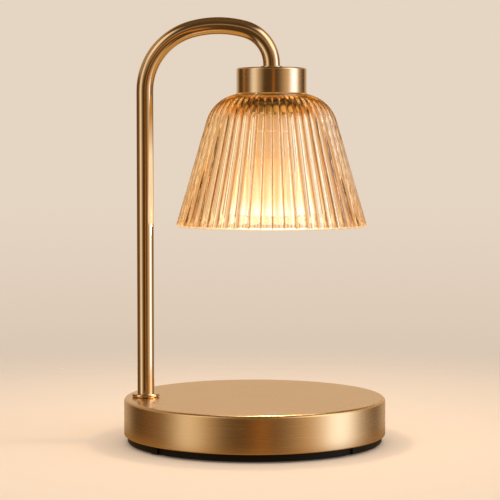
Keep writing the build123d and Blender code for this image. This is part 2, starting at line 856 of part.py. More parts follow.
with BuildPart() as shade_gasket:
    with BuildSketch(level(head_offset, ring_top_z)):
        Circle(shade_hole_radius + gasket_width)
        Circle(shade_hole_radius, mode=Mode.SUBTRACT)
    extrude(amount=gasket_thickness)
publish(shade_gasket, "shade_gasket")

# Ring that screws up the fitter and clamps the glass against the cap, grooved for the fingers.
ring_radius = fitter_radius + ring_wall
with BuildPart() as shade_ring:
    with BuildSketch(level(head_offset, ring_z)):
        Circle(ring_radius)
        Circle(fitter_radius + thread_gap, mode=Mode.SUBTRACT)
        with PolarLocations(ring_radius, ring_grips):
            Circle(ring_grip_radius, mode=Mode.SUBTRACT)
    extrude(amount=ring_height)
publish(shade_ring, "shade_ring")

# ================================================================ bulb
bulb_radius = bulb_diameter / 2
neck_radius = bulb_neck_diameter / 2
base_radius = bulb_base_diameter / 2
neck_z = seat_z - bulb_neck_height
bulb_rim_z = lens_z + bulb_rim_height
lens_top_z = lens_z + lens_thickness
lens_radius = bulb_radius - lens_land
spigot_radius_in = neck_radius - reflector_wall - insert_gap
bowl_top = (bulb_radius - lens_land - reflector_wall, bulb_rim_z)

# Base of the bulb: moulded body that tapers out to the neck, with a spigot for the reflector.
with BuildPart() as bulb_base:
    with BuildSketch(head_section):
        with BuildLine():
            Polyline(
                (0, seat_z),
                (base_radius, seat_z),
                (base_radius, neck_z + bulb_base_taper),
                (neck_radius, neck_z),
                (spigot_radius_in, neck_z),
                (spigot_radius_in, neck_z - bulb_spigot),
                (0, neck_z - bulb_spigot),
                close=True,
            )
        make_face()
    revolve(axis=head_axis)
    chamfer(bulb_base.edges().group_by(Axis.Z)[-1], length=bulb_base_chamfer)
    with BuildSketch(level(head_offset, seat_z)):
        with PolarLocations(pin_circle, 2, 90):
            Circle(pin_radius + insert_gap)
    extrude(amount=-pin_root, mode=Mode.SUBTRACT)
    with BuildSketch(level(head_offset, neck_z - bulb_spigot)):
        Circle(capsule_diameter / 2 + insert_gap)
    extrude(amount=capsule_sunk, mode=Mode.SUBTRACT)
publish(bulb_base, "bulb_base")

# Twist-lock pins with round heads.
pin_neck_top = holder_z + holder_floor + head_lift
with BuildPart() as bulb_pins:
    with BuildSketch(level(head_offset, seat_z - pin_root)):
        with PolarLocations(pin_circle, 2, 90):
            Circle(pin_radius)
    extrude(amount=pin_neck_top - seat_z + pin_root)
    with BuildSketch(level(head_offset, pin_neck_top)):
        with PolarLocations(pin_circle, 2, 90):
            Circle(pin_head_radius)
    extrude(amount=pin_head_height)
    chamfer(bulb_pins.edges().group_by(Axis.Z)[-1], length=pin_head_chamfer)
publish(bulb_pins, "bulb_pins")


def bowl(radius_in, radius_out, bulge):
    """Curved side of the reflector, from its neck down to its rim."""
    start = (radius_in, neck_z)
    end = (radius_out, bulb_rim_z)
    middle = ((radius_in + radius_out) / 2 + bulge, (neck_z + bulb_rim_z) / 2 + 0.5 * bulge)
    return ThreePointArc(start, middle, end)


# Pressed glass reflector: a bowl with a rim that seats the front lens.
with BuildPart() as bulb_reflector:
    with BuildSketch(head_section):
        with BuildLine():
            outside = bowl(neck_radius, bulb_radius, bulb_bulge)
            Polyline(
                outside @ 1,
                (bulb_radius, lens_z),
                (lens_radius, lens_z),
                (lens_radius, lens_top_z),
                (bowl_top[0], lens_top_z),
                bowl_top,
            )
            inside = bowl(neck_radius - reflector_wall, bowl_top[0], bulb_bulge)
            Line(inside @ 0, outside @ 0)
        make_face()
    revolve(axis=head_axis)
publish(bulb_reflector, "bulb_reflector")

with BuildPart() as bulb_lens:
    with BuildSketch(level(head_offset, lens_z)):
        Circle(lens_radius - insert_gap)
    extrude(amount=lens_thickness)
publish(bulb_lens, "bulb_lens")

# Halogen capsule in the reflector, held by the base.
capsule_radius = capsule_diameter / 2
capsule_top = neck_z - bulb_spigot + capsule_sunk
with BuildPart() as bulb_capsule:
    with BuildSketch(level(head_offset, capsule_top)):
        Circle(capsule_radius)
    extrude(amount=-capsule_length)
    fillet(bulb_capsule.edges().group_by(Axis.Z)[0], radius=capsule_radius - capsule_tip_flat)
publish(bulb_capsule, "bulb_capsule")
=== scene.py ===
"""Looks of the candle warmer lamp: finishes, the ribbed glass, the lit bulb and a plain studio.

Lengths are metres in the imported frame: +Z is up and -Y is the front.
"""

import math

import bmesh
import bpy
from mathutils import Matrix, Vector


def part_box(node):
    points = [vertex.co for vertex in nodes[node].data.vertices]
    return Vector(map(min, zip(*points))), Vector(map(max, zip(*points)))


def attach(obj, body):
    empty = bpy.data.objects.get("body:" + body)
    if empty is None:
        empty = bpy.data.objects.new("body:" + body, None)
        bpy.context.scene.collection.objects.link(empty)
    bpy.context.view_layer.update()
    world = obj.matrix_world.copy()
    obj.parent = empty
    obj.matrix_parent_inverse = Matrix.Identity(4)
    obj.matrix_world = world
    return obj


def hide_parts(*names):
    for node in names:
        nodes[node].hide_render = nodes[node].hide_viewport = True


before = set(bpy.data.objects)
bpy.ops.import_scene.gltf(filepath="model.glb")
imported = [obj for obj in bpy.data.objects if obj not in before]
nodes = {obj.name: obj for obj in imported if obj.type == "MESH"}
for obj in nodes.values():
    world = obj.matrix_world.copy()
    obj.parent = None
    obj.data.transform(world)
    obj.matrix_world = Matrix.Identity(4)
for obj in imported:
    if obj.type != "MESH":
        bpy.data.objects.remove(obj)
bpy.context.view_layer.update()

MM = 0.001

# ---------------------------------------------------------------- sizes read from the frame
shade_low, shade_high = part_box("shade")
cap_low, cap_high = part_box("head_cap")
fitter_low, fitter_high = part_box("shade_fitter")
gasket_low, gasket_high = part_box("shade_gasket")
lens_low, lens_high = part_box("bulb_lens")
reflector_low, reflector_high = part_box("bulb_reflector")
ring_low, ring_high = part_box("shade_ring")

head_x = (cap_low.x + cap_high.x) / 2
cap_radius = (cap_high.x - cap_low.x) / 2
rim_z = shade_low.z
cap_z = shade_high.z
lens_z = lens_low.z

# ---------------------------------------------------------------- shape of the glass
RIB_COUNT = 52
RIB_DEPTH = 1.2 * MM
VALLEY_SHARE = 0.4  # share of a rib's depth that lies in its sharp valley
VALLEY_POWER = 8  # how sharp that valley is
GLASS_WALL = 2.3 * MM
SHOULDER_RADIUS = 23.1 * MM
CROWN_RADIUS = 17.4 * MM
RIM_ROUND = 1.5 * MM
RIB_END_GAP = 0.5 * MM
SHADE_HOLE_GAP = 0.4 * MM
GASKET_SEAT_GAP = 0.1 * MM
RIB_SEGMENTS = 20
RIM_SEGMENTS = 6
WALL_SEGMENTS = 14
SHOULDER_SEGMENTS = 20
SHARP_EDGE = math.radians(24)

# ---------------------------------------------------------------- look of the glass
GLASS_IOR = 1.5
GLASS_TINT = (1.0, 0.965, 0.91)
CROWN_TINT = (1.0, 0.70, 0.26)
CROWN_TINT_DEPTH = 17.0 * MM
# Painted shade: the valleys between the ribs are darkened with this colour.
VALLEY_PAINTED_SHADE = (0.66, 0.37, 0.13)
VALLEY_START = 0.70  # cosine of the place in the rib, which is 1 at the bottom of a valley
DEPTH_COLOUR = (0.97, 0.69, 0.24)
DEPTH_DENSITY = 45.0
FAR_TINT = (0.98, 0.96, 0.93)
FAR_CROWN_TINT = (0.95, 0.55, 0.14)
FAR_RIM_HEIGHT = 4.5 * MM
SHADOW_TINT = (0.97, 0.86, 0.70)

HAZE_COLOUR = (1.0, 0.80, 0.52)
GLASS_HAZE = 0.008
RIM_HAZE = 0.08
RIM_HAZE_LOW = 2.0 * MM
RIM_HAZE_HIGH = 5.0 * MM

# Painted glow on the glass, which is no lamp: at the far rim, the rim's edge and the crown.
RIM_GLOW_COLOUR = (1.0, 0.80, 0.50)
FAR_RIM_GLOW = 0.55
RIM_LINE_GLOW = 0.5
RIM_LINE_HEIGHT = 1.2 * MM
CROWN_GLOW_COLOUR = (1.0, 0.42, 0.06)
CROWN_GLOW = 0.10
CROWN_GLOW_LOW = 4.0 * MM  # below the top of the glass, as are the next three
CROWN_GLOW_HIGH = 2.0 * MM
IN_METAL_LOW = 38.0 * MM
IN_METAL_HIGH = 12.0 * MM
IN_METAL_WALL = (1.25, 1.15, 1.0)
IN_METAL_CROWN = (0.62, 0.34, 0.10)

# ---------------------------------------------------------------- colours
BRASS = (0.80, 0.59, 0.36)
# Painted warm light: the base's brass is a warmer copy of BRASS.
BRASS_IN_WARM_LIGHT = (0.84, 0.57, 0.29)
POLISHED_BRASS = (0.82, 0.60, 0.36)
BACKDROP = (0.787, 0.665, 0.546)
BACKDROP_LOW = (0.690, 0.552, 0.430)
FLOOR = (0.82, 0.70, 0.58)
# Painted reflection: the warm floor near the base, as only the metal sees it.
PAINTED_FLOOR_IN_METAL = (0.36, 0.20, 0.07)
WARM_LIGHT = (1.0, 0.66, 0.33)
DIM = (0.45, 0.19, 0.04)
FROSTED = (0.45, 0.38, 0.30)

# ---------------------------------------------------------------- floor, lamp and camera
FLOOR_RADIUS = 0.9
FLOOR_SIDES = 96
FLOOR_GLOW = 0.12
FLOOR_FADE_START = 0.16
FLOOR_FADE_END = 0.52
METAL_SEES_FLOOR_TO = 0.085
METAL_SEES_NONE_FROM = 0.14

LAMP_POWER = 0.12
LAMP_SIZE = 6 * MM
LAMP_BELOW_LENS = 8 * MM

CAMERA_PLACE = (-0.002875, -1.0977, 0.1847)
CAMERA_DOWN = 0.061
CAMERA_LENS = 129.6
CAMERA_SENSOR = 36.0
CAMERA_NEAR = 0.01


# ================================================================ node helpers
class Nodes:
    """Short calls for the nodes of one material or world."""

    def __init__(self, tree):
        self.tree = tree

    def node(self, kind, **settings):
        made = self.tree.nodes.new(kind)
        for name, value in settings.items():
            setattr(made, name, value)
        return made

    def link(self, source, target):
        self.tree.links.new(source, target)

    def feed(self, value, socket):
        """Gives a socket a colour, a number or another node's output."""
        if isinstance(value, tuple):
            socket.default_value = (*value, 1.0)
        elif isinstance(value, (int, float)):
            socket.default_value = value
        else:
            self.link(value, socket)

    def math(self, operation, *values):
        made = self.node("ShaderNodeMath", operation=operation)
        for socket, value in zip(made.inputs, values):
            self.feed(value, socket)
        return made.outputs[0]

    def axes(self, vector):
        """The X, Y and Z of a vector."""
        split = self.node("ShaderNodeSeparateXYZ")
        self.link(vector, split.inputs[0])
        return [split.outputs[axis] for axis in "XYZ"]

    def mapped(self, value, start, end, low=0.0, high=1.0, kind="SMOOTHSTEP"):
        """Runs from low to high while the value runs from start to end."""
        made = self.node("ShaderNodeMapRange", interpolation_type=kind)
        for name, number in (("From Min", start), ("From Max", end), ("To Min", low), ("To Max", high)):
            made.inputs[name].default_value = number
        self.link(value, made.inputs["Value"])
        return made.outputs["Result"]

    def blend(self, factor, a, b, kind="MIX"):
        """Colour a where the factor is 0, and where it is 1 colour b, or a times b to multiply."""
        made = self.node("ShaderNodeMix", data_type="RGBA", blend_type=kind)
        for name, value in (("Factor", factor), ("A", a), ("B", b)):
            self.feed(value, made.inputs[name])
        return made.outputs["Result"]

    def lobe(self, kind, colour):
        """A plain shader of one kind and colour."""
        made = self.node(kind)
        self.feed(colour, made.inputs["Color"])
        return made.outputs[0]

    def either(self, factor, first, second):
        """The first shader where the factor is 0, and the second where it is 1."""
        made = self.node("ShaderNodeMixShader")
        for socket, value in zip(made.inputs, (factor, first, second)):
            self.feed(value, socket)
        return made.outputs[0]


class Finish(Nodes):
    """A material with one Principled shader, and short calls for its grain and colour."""

    def __init__(self, name):
        self.material = bpy.data.materials.new(name)
        self.material.use_nodes = True
        super().__init__(self.material.node_tree)
        self.shader = self.tree.nodes["Principled BSDF"]
        self.output = self.tree.nodes["Material Output"]

    def set(self, **sockets):
        for name, value in sockets.items():
            self.feed(value, self.shader.inputs[name.replace("_", " ")])

    def surface(self, shader):
        self.link(shader, self.output.inputs["Surface"])

    def position(self):
        return self.node("ShaderNodeTexCoord").outputs["Object"]

    def noise(self, vector, scale, detail=3.0, roughness=0.5):
        made = self.node("ShaderNodeTexNoise")
        made.inputs["Scale"].default_value = scale
        made.inputs["Detail"].default_value = detail
        made.inputs["Roughness"].default_value = roughness
        self.link(vector, made.inputs["Vector"])
        return made.outputs["Fac"]

    def spread(self, value, low, high):
        """Maps a noise value from 0.25..0.75 to low..high."""
        return self.mapped(value, 0.25, 0.75, low, high, kind="LINEAR")

    def tint(self, value, dark, light):
        """Colour that runs from dark to light with a noise value."""
        ramp = self.node("ShaderNodeValToRGB")
        ramp.color_ramp.elements[0].position = 0.3
        ramp.color_ramp.elements[0].color = (*dark, 1.0)
        ramp.color_ramp.elements[1].position = 0.7
        ramp.color_ramp.elements[1].color = (*light, 1.0)
        self.link(value, ramp.inputs["Fac"])
        self.set(Base_Color=ramp.outputs["Color"])

    def bump(self, height, distance):
        made = self.node("ShaderNodeBump")
        made.inputs["Distance"].default_value = distance
        self.link(height, made.inputs["Height"])
        self.set(Normal=made.outputs["Normal"])


def shaded(colour, factor):
    """The colour made darker or lighter by a factor."""
    return tuple(channel * factor for channel in colour)


# ================================================================ finishes
MARKS_ALONG = 22.0  # how fast the turning marks change along their run
MARKS_ACROSS = 3600.0  # and across it, in height or in radius
FLAT_LIMIT = 0.7  # z of the normal above which a brushed part counts as flat


def lathe_position(finish, axis_x):
    """Vector for marks that run round the vertical axis at axis_x."""
    x, y, z = finish.axes(finish.position())
    x = finish.math("SUBTRACT", x, axis_x)
    squares = [finish.math("MULTIPLY", side, side) for side in (x, y)]
    radius = finish.math("SQRT", finish.math("ADD", *squares))
    joined = finish.node("ShaderNodeCombineXYZ")
    finish.link(finish.math("MULTIPLY", x, MARKS_ALONG), joined.inputs["X"])
    finish.link(finish.math("MULTIPLY", y, MARKS_ALONG), joined.inputs["Y"])
    depth = finish.math("MULTIPLY", finish.math("ADD", radius, z), MARKS_ACROSS)
    finish.link(depth, joined.inputs["Z"])
    return joined.outputs[0]


def lathe_tangent(finish):
    """Tangent round the vertical axis on the sides, and along X on flat tops."""
    tangent = finish.node("ShaderNodeTangent", direction_type="RADIAL", axis="Z")
    normal = finish.axes(finish.node("ShaderNodeNewGeometry").outputs["Normal"])
    flat = finish.math("GREATER_THAN", normal[2], FLAT_LIMIT)
    grain = finish.node("ShaderNodeMix", data_type="VECTOR")
    finish.link(flat, grain.inputs["Factor"])
    finish.link(tangent.outputs[0], grain.inputs[4])
    grain.inputs[5].default_value = (1.0, 0.0, 0.0)
    return grain.outputs[1]


def brushed_brass(name, axis_x, colour, roughness, contrast):
    """Brass brushed round a vertical axis and lacquered."""
    finish = Finish(name)
    marks = finish.noise(lathe_position(finish, axis_x), scale=1.0, detail=4.0, roughness=0.7)
    clouds = finish.noise(finish.position(), scale=28.0, detail=2.0)
    finish.set(Metallic=1.0, Anisotropic=0.65, Coat_Weight=0.04, Coat_Roughness=0.2)
    finish.tint(marks, shaded(colour, 1 - contrast), shaded(colour, 1 + 0.5 * contrast))
    uneven = finish.math("ADD", finish.spread(marks, -0.03, 0.03), finish.spread(clouds, -0.015, 0.015))
    finish.set(Roughness=finish.math("ADD", uneven, roughness), Tangent=lathe_tangent(finish))
    finish.bump(marks, 0.002 * MM)
    return finish.material


def polished_brass(name):
    """Brass polished bright, with faint wiping marks."""
    finish = Finish(name)
    marks = finish.noise(finish.position(), scale=900.0)
    finish.set(Metallic=1.0, Coat_Weight=0.2, Coat_Roughness=0.08)
    finish.tint(marks, shaded(POLISHED_BRASS, 0.97), POLISHED_BRASS)
    finish.set(Roughness=finish.spread(marks, 0.10, 0.17))
    finish.bump(marks, 0.001 * MM)
    return finish.material


def tube_brass(name):
    """Brass of the bent tube: satin, with fine upright marks."""
    finish = Finish(name)
    stretch = finish.node("ShaderNodeMapping")
    stretch.inputs["Scale"].default_value = (1.0, 1.0, 0.05)
    finish.link(finish.position(), stretch.inputs["Vector"])
    marks = finish.noise(stretch.outputs[0], scale=2600.0)
    clouds = finish.noise(finish.position(), scale=60.0, detail=2.0)
    finish.set(Metallic=1.0, Coat_Weight=0.15, Coat_Roughness=0.1)
    finish.tint(clouds, shaded(BRASS, 0.96), shaded(BRASS, 1.02))
    rough = finish.math("ADD", finish.spread(marks, 0.09, 0.12), finish.spread(clouds, -0.015, 0.015))
    finish.set(Roughness=rough)
    finish.bump(marks, 0.001 * MM)
    return finish.material


def metal(name, colour, low, high):
    """Plain metal whose sheen varies with a fine grain."""
    finish = Finish(name)
    marks = finish.noise(finish.position(), scale=700.0)
    finish.set(Metallic=1.0)
    finish.tint(marks, shaded(colour, 0.9), colour)
    finish.set(Roughness=finish.spread(marks, low, high))
    finish.bump(marks, 0.003 * MM)
    return finish.material


def moulded(name, colour, low, high, grain=1500.0, depth=0.01 * MM, specular=0.5):
    """Plastic, rubber, cast iron or ceramic with a fine grain."""
    finish = Finish(name)
    marks = finish.noise(finish.position(), scale=grain, detail=4.0)
    clouds = finish.noise(finish.position(), scale=60.0, detail=2.0)
    finish.set(Specular_IOR_Level=specular)
    finish.tint(clouds, shaded(colour, 0.85), colour)
    finish.set(Roughness=finish.spread(marks, low, high))
    finish.bump(marks, depth)
    return finish.material


class AmberGlass(Finish):
    """Amber glass of the shade.  Its colour comes from its depth and from a tint that deepens
    towards the crown, with painted shade in the valleys between the ribs and painted glow at
    the rim and the crown.

    What is seen through the near wall passes the far wall straight, down to the far rim, so
    that the fine ribs of the far wall don't turn to noise.  Lamps shine through the glass, and
    metal sees a plain glow in its place.
    """

    def __init__(self, name):
        super().__init__(name)
        self.x, self.y, self.z = self.axes(self.position())
        self.above_rim = self.math("SUBTRACT", self.z, rim_z)
        self.crown = self.mapped(self.z, cap_z - CROWN_TINT_DEPTH, cap_z)
        self.rays = self.node("ShaderNodeLightPath").outputs
        away = self.node("ShaderNodeNewGeometry").outputs["Backfacing"]
        self.entering = self.math("SUBTRACT", self.rays["Is Transmission Ray"], away)
        self.high = self.math("GREATER_THAN", self.above_rim, FAR_RIM_HEIGHT)
        self.set(Roughness=0.0, IOR=GLASS_IOR, Transmission_Weight=1.0)
        self.bump(self.noise(self.position(), scale=120.0, detail=2.0), 0.002 * MM)
        self.paint_valley_shade()
        self.paint_glow()
        glass = self.either(self.far_wall(), self.hazy(), self.far_clear())
        glass = self.either(self.mirrored(), glass, self.seen_in_metal())
        clear = self.lobe("ShaderNodeBsdfTransparent", SHADOW_TINT)
        through = self.math("MAXIMUM", self.rays["Is Shadow Ray"], self.rays["Is Diffuse Ray"])
        self.surface(self.either(through, glass, clear))
        depth = self.node("ShaderNodeVolumeAbsorption")
        self.feed(DEPTH_COLOUR, depth.inputs["Color"])
        self.feed(DEPTH_DENSITY, depth.inputs["Density"])
        self.link(depth.outputs[0], self.output.inputs["Volume"])

    def deepening(self, wall, top):
        """Colour that deepens from the wall's to the crown's."""
        return self.blend(self.crown, wall, top)

    def paint_valley_shade(self):
        """The glass's own colour, with painted shade in the valleys between the ribs."""
        turn = self.math("ARCTAN2", self.y, self.math("SUBTRACT", self.x, head_x))
        wave = self.math("COSINE", self.math("MULTIPLY", turn, RIB_COUNT))
        valley = self.mapped(wave, VALLEY_START, 1.0)
        tint = self.deepening(GLASS_TINT, CROWN_TINT)
        self.set(Base_Color=self.blend(valley, tint, VALLEY_PAINTED_SHADE, kind="MULTIPLY"))

    def paint_glow(self):
        """Painted glow at the far rim, the rim's edge and the crown, for light gathering there."""
        far_rim = self.math("MAXIMUM", self.math("SUBTRACT", self.entering, self.high), 0.0)
        far_glow = self.math("MULTIPLY", far_rim, FAR_RIM_GLOW)
        rim_line = self.math("LESS_THAN", self.above_rim, RIM_LINE_HEIGHT)
        line_glow = self.math("MULTIPLY", rim_line, RIM_LINE_GLOW)
        crown_glow = self.mapped(self.z, cap_z - CROWN_GLOW_LOW, cap_z - CROWN_GLOW_HIGH, high=CROWN_GLOW)
        strongest = self.math("MAXIMUM", self.math("MAXIMUM", far_glow, line_glow), crown_glow)
        self.set(Emission_Color=self.deepening(RIM_GLOW_COLOUR, CROWN_GLOW_COLOUR))
        self.set(Emission_Strength=strongest)

    def hazy(self):
        """The glass with a little haze that catches light, more of it at the rim."""
        kinds = ("ShaderNodeBsdfTranslucent", "ShaderNodeBsdfDiffuse")
        lobes = [self.lobe(kind, HAZE_COLOUR) for kind in kinds]
        haze = self.mapped(self.above_rim, RIM_HAZE_LOW, RIM_HAZE_HIGH, RIM_HAZE, GLASS_HAZE)
        return self.either(haze, self.shader.outputs[0], self.either(0.5, *lobes))

    def far_wall(self):
        """1 where a ray that came through the near wall meets the far wall above its rim.

        The depths count in whole numbers, and the limits lie between two of them.
        """
        passed = self.math("GREATER_THAN", self.rays["Transparent Depth"], 0.5)
        inside = self.math("GREATER_THAN", self.rays["Transmission Depth"], 1.5)
        passing = self.math("MULTIPLY", passed, inside)
        return self.math("MULTIPLY", self.math("MAXIMUM", self.entering, passing), self.high)

    def far_clear(self):
        return self.lobe("ShaderNodeBsdfTransparent", self.deepening(FAR_TINT, FAR_CROWN_TINT))

    def mirrored(self):
        """1 for a ray that rough metal has mirrored, and 0 or less for any other ray."""
        return self.math("SUBTRACT", self.rays["Is Glossy Ray"], self.rays["Is Singular Ray"])

    def seen_in_metal(self):
        """Plain glow that stands for the lit shade in the brass beside it."""
        height = self.mapped(self.z, cap_z - IN_METAL_LOW, cap_z - IN_METAL_HIGH, kind="LINEAR")
        return self.lobe("ShaderNodeEmission", self.blend(height, IN_METAL_WALL, IN_METAL_CROWN))


FACET_COUNT = 26


def glowing(name, low_z, high_z, stops, strength, body=FROSTED, facet_depth=0.0, dim_to=DIM):
    """Surface that glows, the bulb's own lit glass or a painted glow on a part that is no lamp:
    its glow runs through the stops from low_z up to high_z.

    With a facet depth, the glow dims between the facets that run round the head's axis.
    """
    finish = Finish(name)
    x, y, z = finish.axes(finish.position())
    ramp = finish.node("ShaderNodeValToRGB")
    while len(ramp.color_ramp.elements) < len(stops):
        ramp.color_ramp.elements.new(0.5)
    for element, (position, colour) in zip(ramp.color_ramp.elements, stops):
        element.position = position
        element.color = (*colour, 1.0)
    finish.link(finish.mapped(z, low_z, high_z, kind="LINEAR"), ramp.inputs["Fac"])
    turn = finish.math("ARCTAN2", y, finish.math("SUBTRACT", x, head_x))
    wave = finish.math("SINE", finish.math("MULTIPLY", turn, FACET_COUNT))
    dim = finish.math("MULTIPLY", finish.math("ADD", wave, 1.0), facet_depth / 2)
    marks = finish.noise(finish.position(), scale=400.0)
    finish.set(Base_Color=body, Emission_Strength=strength)
    finish.set(Roughness=finish.spread(marks, 0.30, 0.40))
    finish.set(Emission_Color=finish.blend(dim, ramp.outputs["Color"], dim_to))
    finish.bump(marks, 0.01 * MM)
    return finish.material


def dress(node, material):
    """Gives a CAD node its finish."""
    slots = nodes[node].data.materials
    slots.clear()
    slots.append(material)


base_brass = brushed_brass("base_brass", 0.0, BRASS_IN_WARM_LIGHT, roughness=0.26, contrast=0.06)
cap_brass = brushed_brass("cap_brass", head_x, BRASS, roughness=0.14, contrast=0.05)
collar_brass = polished_brass("collar_brass")
stem_brass = tube_brass("stem_brass")
black_plastic = moulded("black_plastic", (0.006, 0.005, 0.004), 0.42, 0.55, specular=0.2)
black_rubber = moulded("black_rubber", (0.016, 0.016, 0.016), 0.6, 0.8)
cast_iron = moulded("cast_iron", (0.05, 0.05, 0.05), 0.6, 0.85, grain=500.0, depth=0.08 * MM)
zinc_steel = metal("zinc_steel", (0.60, 0.60, 0.57), 0.22, 0.36)
terminal_brass = metal("terminal_brass", (0.78, 0.60, 0.30), 0.2, 0.32)
nickel = metal("nickel", (0.72, 0.69, 0.62), 0.15, 0.28)
ceramic = moulded("ceramic", (0.80, 0.76, 0.68), 0.35, 0.55, grain=1200.0)
dark_silicone = moulded("dark_silicone", (0.012, 0.006, 0.003), 0.5, 0.65, specular=0.05)
brown_wire = moulded("brown_wire", (0.14, 0.06, 0.03), 0.4, 0.55)
blue_wire = moulded("blue_wire", (0.03, 0.07, 0.22), 0.4, 0.55)

BOWL_FACET_DEPTH = 0.55
# Between its facets the ring's painted glow dims to painted shade.
RING_FACET_DEPTH = 0.8
RING_BODY = (0.010, 0.005, 0.002)
RING_PAINTED_SHADE = (0.04, 0.015, 0.003)
# Glow of the lit bulb and painted glow of the ring and the neck: share of the way from
# their lower to their upper height, and colour.
LENS_STOPS = [(0.0, (1.0, 0.90, 0.70)), (1.0, (1.0, 0.90, 0.70))]
BOWL_STOPS = [(0.0, (1.0, 0.95, 0.85)), (0.3, (0.80, 0.60, 0.35)), (1.0, (0.50, 0.25, 0.10))]
PAINTED_NECK_STOPS = [(0.0, (0.76, 0.40, 0.15)), (1.0, (0.50, 0.25, 0.09))]
PAINTED_RING_STOPS = [
    (0.0, (1.45, 0.78, 0.24)),
    (0.42, (1.35, 0.68, 0.17)),
    (0.60, (0.02, 0.008, 0.002)),
    (1.0, (0.0, 0.0, 0.0)),
]
lens_glow = glowing("lens_glow", lens_z, lens_high.z, LENS_STOPS, strength=5.0)
bowl_glow = glowing(
    "bowl_glow", reflector_low.z, reflector_high.z, BOWL_STOPS, strength=1.5,
    facet_depth=BOWL_FACET_DEPTH,
)
# Painted glow on the fitter and the ring, which are no lamp: orange for light through the ribs, dark
# above.
painted_ring_glow = glowing(
    "painted_ring_glow", ring_low.z, ring_high.z, PAINTED_RING_STOPS, strength=0.6,
    body=RING_BODY, facet_depth=RING_FACET_DEPTH, dim_to=RING_PAINTED_SHADE,
)
# Painted glow on the lamp holder and the bulb's base, which are no lamp: the bulb's light on them.
painted_neck_glow = glowing("painted_neck_glow", reflector_high.z, ring_low.z, PAINTED_NECK_STOPS, strength=0.8)

finishes = {
    "base_shell": base_brass,
    "base_weight": cast_iron,
    "bottom_cover": black_plastic,
    "cover_screws": zinc_steel,
    "rubber_feet": black_rubber,
    "cord_bush": black_rubber,
    "terminal_block": ceramic,
    "terminal_barrels": terminal_brass,
    "block_screw": zinc_steel,
    "wire_live": brown_wire,
    "wire_neutral": blue_wire,
    "stem_tube": stem_brass,
    "foot_collar": collar_brass,
    "foot_washer": zinc_steel,
    "foot_nut": zinc_steel,
    "head_collar": collar_brass,
    "head_cap": cap_brass,
    "head_washer": zinc_steel,
    "head_nut": zinc_steel,
    "shade_fitter": painted_ring_glow,
    "holder_bracket": zinc_steel,
    "bracket_screws": zinc_steel,
    "lamp_holder": painted_neck_glow,
    "holder_contacts": nickel,
    "shade_gasket": dark_silicone,
    "shade_ring": painted_ring_glow,
    "bulb_base": painted_neck_glow,
    "bulb_pins": nickel,
    "bulb_reflector": bowl_glow,
    "bulb_lens": lens_glow,
    "bulb_capsule": lens_glow,
}
for node, material in finishes.items():
    dress(node, material)


# ================================================================ ribbed glass shade
def shade_profile():
    """Half section of the glass from the rim, over the outside and back down the inside.

    Returns (radius, z, rib share) rows, and the depth of the ribs as a share of the radius.
    The rib share is 1 where the ribs have their full depth for that radius and 0 where the
    glass is round.
    """
    rim_radius = (shade_high.x - shade_low.x) / 2 / math.cos(math.pi / RIB_COUNT)
    shoulder_z = cap_z - SHOULDER_RADIUS
    wall_z = rim_z + RIM_ROUND
    run = rim_radius - CROWN_RADIUS
    rise = shoulder_z - wall_z
    lean = math.acos(SHOULDER_RADIUS / math.hypot(run, rise)) - math.atan2(rise, run)
    end_radius = cap_radius + RIB_END_GAP
    end_turn = math.acos((end_radius - CROWN_RADIUS) / SHOULDER_RADIUS)
    tangent_radius = CROWN_RADIUS + SHOULDER_RADIUS * math.cos(lean)
    tangent_z = shoulder_z + SHOULDER_RADIUS * math.sin(lean)

    rows = []
    for i in range(RIM_SEGMENTS):
        turn = math.pi / 2 * i / RIM_SEGMENTS
        radius = rim_radius - RIM_ROUND * (1 - math.sin(turn))
        rows.append((radius, wall_z - RIM_ROUND * math.cos(turn), 1.0))
    for i in range(WALL_SEGMENTS):
        share = i / WALL_SEGMENTS
        radius = rim_radius + (tangent_radius - rim_radius) * share
        rows.append((radius, wall_z + (tangent_z - wall_z) * share, 1.0))
    for i in range(SHOULDER_SEGMENTS + 1):
        turn = lean + (end_turn - lean) * i / SHOULDER_SEGMENTS
        radius = CROWN_RADIUS + SHOULDER_RADIUS * math.cos(turn)
        rows.append((radius, shoulder_z + SHOULDER_RADIUS * math.sin(turn), 1.0))

    crown_radius = end_radius * (1 - RIB_DEPTH / rim_radius)
    hole_radius = (fitter_high.x - fitter_low.x) / 2 + SHADE_HOLE_GAP
    seat_radius = (gasket_high.x - gasket_low.x) / 2 + GASKET_SEAT_GAP
    inner_radius = SHOULDER_RADIUS - GLASS_WALL - RIB_DEPTH
    inner_z = cap_z - GLASS_WALL - RIB_DEPTH
    rows.append((crown_radius, rows[-1][1], 0.0))
    rows.append((crown_radius, cap_z, 0.0))
    rows.append((hole_radius, cap_z, 0.0))
    rows.append((hole_radius, inner_z, 0.0))
    rows.append((seat_radius, inner_z, 0.0))
    inner_turn = math.acos((seat_radius - CROWN_RADIUS) / inner_radius)
    for i in range(SHOULDER_SEGMENTS + 1):
        turn = inner_turn + (lean - inner_turn) * i / SHOULDER_SEGMENTS
        radius = CROWN_RADIUS + inner_radius * math.cos(turn)
        rows.append((radius, shoulder_z + inner_radius * math.sin(turn), 0.0))
    top_radius, top_z, _ = rows[-1]
    for i in range(1, WALL_SEGMENTS + 1):
        z = top_z + (rim_z - top_z) * i / WALL_SEGMENTS
        rows.append((top_radius + (top_z - z) * math.tan(lean), z, 0.0))
    return rows, RIB_DEPTH / rim_radius


